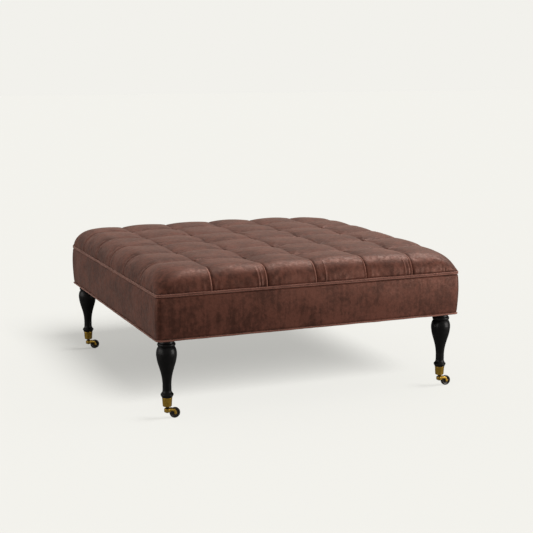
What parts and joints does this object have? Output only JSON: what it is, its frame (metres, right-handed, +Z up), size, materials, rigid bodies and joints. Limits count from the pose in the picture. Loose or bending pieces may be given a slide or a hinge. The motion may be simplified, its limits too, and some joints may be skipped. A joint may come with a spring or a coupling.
{
  "type": "ottoman coffee table",
  "caption": "Low square upholstered ottoman coffee table: biscuit-tufted top, boxed border with piping, turned black legs on brass cup castors.",
  "frame": {"origin": "on the floor under the middle of the top", "axes": "+Z up, -Y out of the front face, +X to the right; the wheels trail to +X at rest"},
  "size_m": [1.0072, 1.0072, 0.4489],
  "materials": {
    "velvet": "soft napped velvet, mottled",
    "seam_cord": "velvet-covered piping",
    "wadding": "white polyester wadding",
    "foam": "cut upholstery foam",
    "dust_cloth": "black non-woven cloth",
    "twine": "waxed tufting twine",
    "hardwood": "planed beech",
    "plywood": "birch plywood",
    "black_leg": "satin black lacquer on turned beech",
    "aged_brass": "antiqued brass",
    "dark_wheel": "dark brown moulded wheel",
    "dark_steel": "blackened steel",
    "zinc_steel": "zinc-plated steel"
  },
  "bodies": {
    "root": {"back_rail": "hardwood", "base_piping": "seam_cord", "border_back": "velvet", "border_front": "velvet", "border_left": "velvet", "border_right": "velvet", "border_wadding": "wadding", "corner_block_back_left": "hardwood", "corner_block_back_right": "hardwood", "corner_block_front_left": "hardwood", "corner_block_front_right": "hardwood", "cup_back_left": "aged_brass", "cup_back_right": "aged_brass", "cup_front_left": "aged_brass", "cup_front_right": "aged_brass", "cup_screws": "aged_brass", "deck_board": "plywood", "deck_screws": "zinc_steel", "dust_cover": "dust_cloth", "dust_cover_staples": "zinc_steel", "foam_pad": "foam", "frame_screws": "zinc_steel", "front_rail": "hardwood", "hanger_bolts": "zinc_steel", "left_cross_rail": "hardwood", "left_rail": "hardwood", "leg_back_left": "black_leg", "leg_back_right": "black_leg", "leg_front_left": "black_leg", "leg_front_right": "black_leg", "lower_piping": "seam_cord", "pintle_back_left": "dark_steel", "pintle_back_right": "dark_steel", "pintle_front_left": "dark_steel", "pintle_front_right": "dark_steel", "right_cross_rail": "hardwood", "right_rail": "hardwood", "tee_nuts": "zinc_steel", "tufted_cover": "velvet", "tufting_twines": "twine", "tufting_washers": "zinc_steel", "upper_piping": "seam_cord", "wadding_layer": "wadding"},
    "fork_front_left": {"axle_front_left": "aged_brass", "fork_front_left": "aged_brass"},
    "wheel_front_left": {"wheel_front_left": "dark_wheel"},
    "fork_front_right": {"axle_front_right": "aged_brass", "fork_front_right": "aged_brass"},
    "wheel_front_right": {"wheel_front_right": "dark_wheel"},
    "fork_back_left": {"axle_back_left": "aged_brass", "fork_back_left": "aged_brass"},
    "wheel_back_left": {"wheel_back_left": "dark_wheel"},
    "fork_back_right": {"axle_back_right": "aged_brass", "fork_back_right": "aged_brass"},
    "wheel_back_right": {"wheel_back_right": "dark_wheel"}
  },
  "joints": [
    {"name": "swivel_front_left", "type": "hinge", "parent": "root", "child": "fork_front_left", "pos_m": [-0.46, -0.46, 0.025], "axis": [0, 0, 1], "continuous": true},
    {"name": "roll_front_left", "type": "hinge", "parent": "fork_front_left", "child": "wheel_front_left", "pos_m": [-0.437, -0.46, 0.016], "axis": [0, 1, 0], "continuous": true},
    {"name": "swivel_front_right", "type": "hinge", "parent": "root", "child": "fork_front_right", "pos_m": [0.46, -0.46, 0.025], "axis": [0, 0, 1], "continuous": true},
    {"name": "roll_front_right", "type": "hinge", "parent": "fork_front_right", "child": "wheel_front_right", "pos_m": [0.483, -0.46, 0.016], "axis": [0, 1, 0], "continuous": true},
    {"name": "swivel_back_left", "type": "hinge", "parent": "root", "child": "fork_back_left", "pos_m": [-0.46, 0.46, 0.025], "axis": [0, 0, 1], "continuous": true},
    {"name": "roll_back_left", "type": "hinge", "parent": "fork_back_left", "child": "wheel_back_left", "pos_m": [-0.437, 0.46, 0.016], "axis": [0, 1, 0], "continuous": true},
    {"name": "swivel_back_right", "type": "hinge", "parent": "root", "child": "fork_back_right", "pos_m": [0.46, 0.46, 0.025], "axis": [0, 0, 1], "continuous": true},
    {"name": "roll_back_right", "type": "hinge", "parent": "fork_back_right", "child": "wheel_back_right", "pos_m": [0.483, 0.46, 0.016], "axis": [0, 1, 0], "continuous": true}
  ]
}
